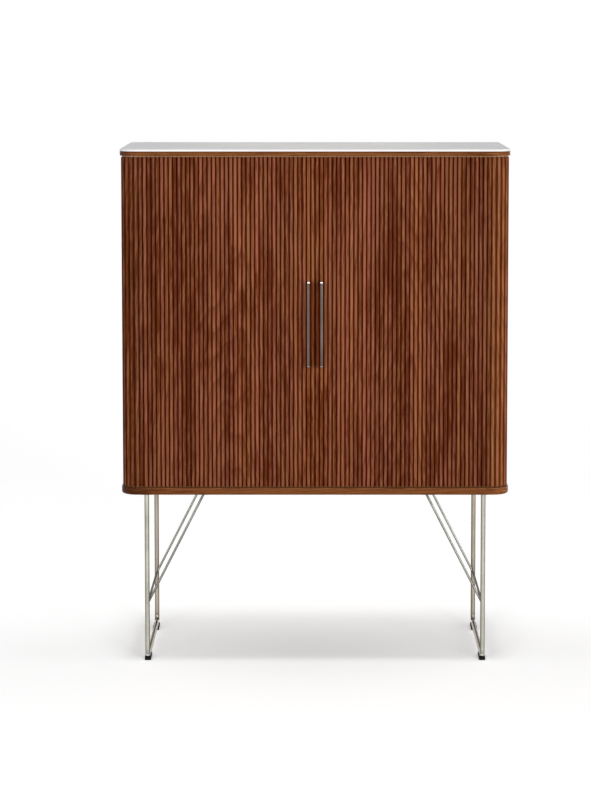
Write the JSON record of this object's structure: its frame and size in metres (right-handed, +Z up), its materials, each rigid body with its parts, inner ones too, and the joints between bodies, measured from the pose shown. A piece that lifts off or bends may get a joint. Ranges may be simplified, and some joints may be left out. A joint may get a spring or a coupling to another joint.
{
  "type": "bar cabinet",
  "caption": "Bar cabinet with slatted tambour doors that slide round its rounded corners, a fold-out inner shelf, a thin white top and bent steel rod legs.",
  "frame": {"origin": "on the floor, under the middle of the whole outline with the handles", "axes": "+Z up, the doors face -Y, +X to the right seen from the front"},
  "size_m": [1, 0.465, 1.33],
  "materials": {
    "white_top": "satin white solid-surface slab",
    "board_walnut": "oiled walnut",
    "slat_walnut": "oiled walnut slats",
    "panel_walnut": "satin walnut veneer",
    "back_board": "walnut-faced board",
    "canvas": "plain cotton canvas",
    "satin_steel": "satin steel rod",
    "bar_steel": "grey painted flat bar",
    "bright_steel": "zinc-plated steel",
    "beech": "plain beech",
    "black_plastic": "black nylon",
    "nylon": "natural nylon",
    "clear_glass": "polished glass"
  },
  "bodies": {
    "cabinet": {"back_panel": "back_board", "back_screws": "bright_steel", "bay_dowels": "beech", "bay_shelf": "panel_walnut", "bottom_board": "board_walnut", "catch_blocks": "panel_walnut", "catch_magnets": "bright_steel", "front_left_glide": "black_plastic", "front_right_glide": "black_plastic", "glass_shelf": "clear_glass", "inner_back": "panel_walnut", "left_brace": "satin_steel", "left_brace_bar": "bar_steel", "left_cleat": "panel_walnut", "left_corner_slats": "slat_walnut", "left_inner_side": "panel_walnut", "left_leg_bar": "bar_steel", "left_leg_frame": "satin_steel", "left_pivot_bush": "nylon", "left_rear_post": "board_walnut", "left_side_slats": "slat_walnut", "left_wrap_canvas": "canvas", "leg_screws": "bright_steel", "lower_shelf": "panel_walnut", "panel_dowels": "beech", "rear_left_glide": "black_plastic", "rear_right_glide": "black_plastic", "right_brace": "satin_steel", "right_brace_bar": "bar_steel", "right_cleat": "panel_walnut", "right_corner_slats": "slat_walnut", "right_inner_side": "panel_walnut", "right_leg_bar": "bar_steel", "right_leg_frame": "satin_steel", "right_pivot_bush": "nylon", "right_rear_post": "board_walnut", "right_side_slats": "slat_walnut", "right_wrap_canvas": "canvas", "shelf_pins": "bright_steel", "top_board": "board_walnut", "top_slab": "white_top"},
    "left_door": {"left_lead_rail": "slat_walnut", "left_handle": "satin_steel", "left_handle_screws": "bright_steel", "left_run_slats": "slat_walnut", "left_run_canvas": "canvas"},
    "right_door": {"right_lead_rail": "slat_walnut", "right_handle": "satin_steel", "right_handle_screws": "bright_steel", "right_run_slats": "slat_walnut", "right_run_canvas": "canvas"},
    "folding_shelf": {"fold_out_shelf": "panel_walnut", "pivot_pins": "bright_steel", "catch_strikes": "bright_steel"}
  },
  "joints": [
    {"name": "left_door_slide", "type": "slide", "parent": "cabinet", "child": "left_door", "axis": [-1, 0, 0], "range_m": [0, 0.4], "deforming": ["left_run_slats", "left_run_canvas"]},
    {"name": "right_door_slide", "type": "slide", "parent": "cabinet", "child": "right_door", "axis": [1, 0, 0], "range_m": [0, 0.4], "deforming": ["right_run_slats", "right_run_canvas"]},
    {"name": "shelf_fold", "type": "hinge", "parent": "cabinet", "child": "folding_shelf", "pos_m": [0, 0.0475, 0.893], "axis": [1, 0, 0], "range_deg": [0, 90]}
  ]
}
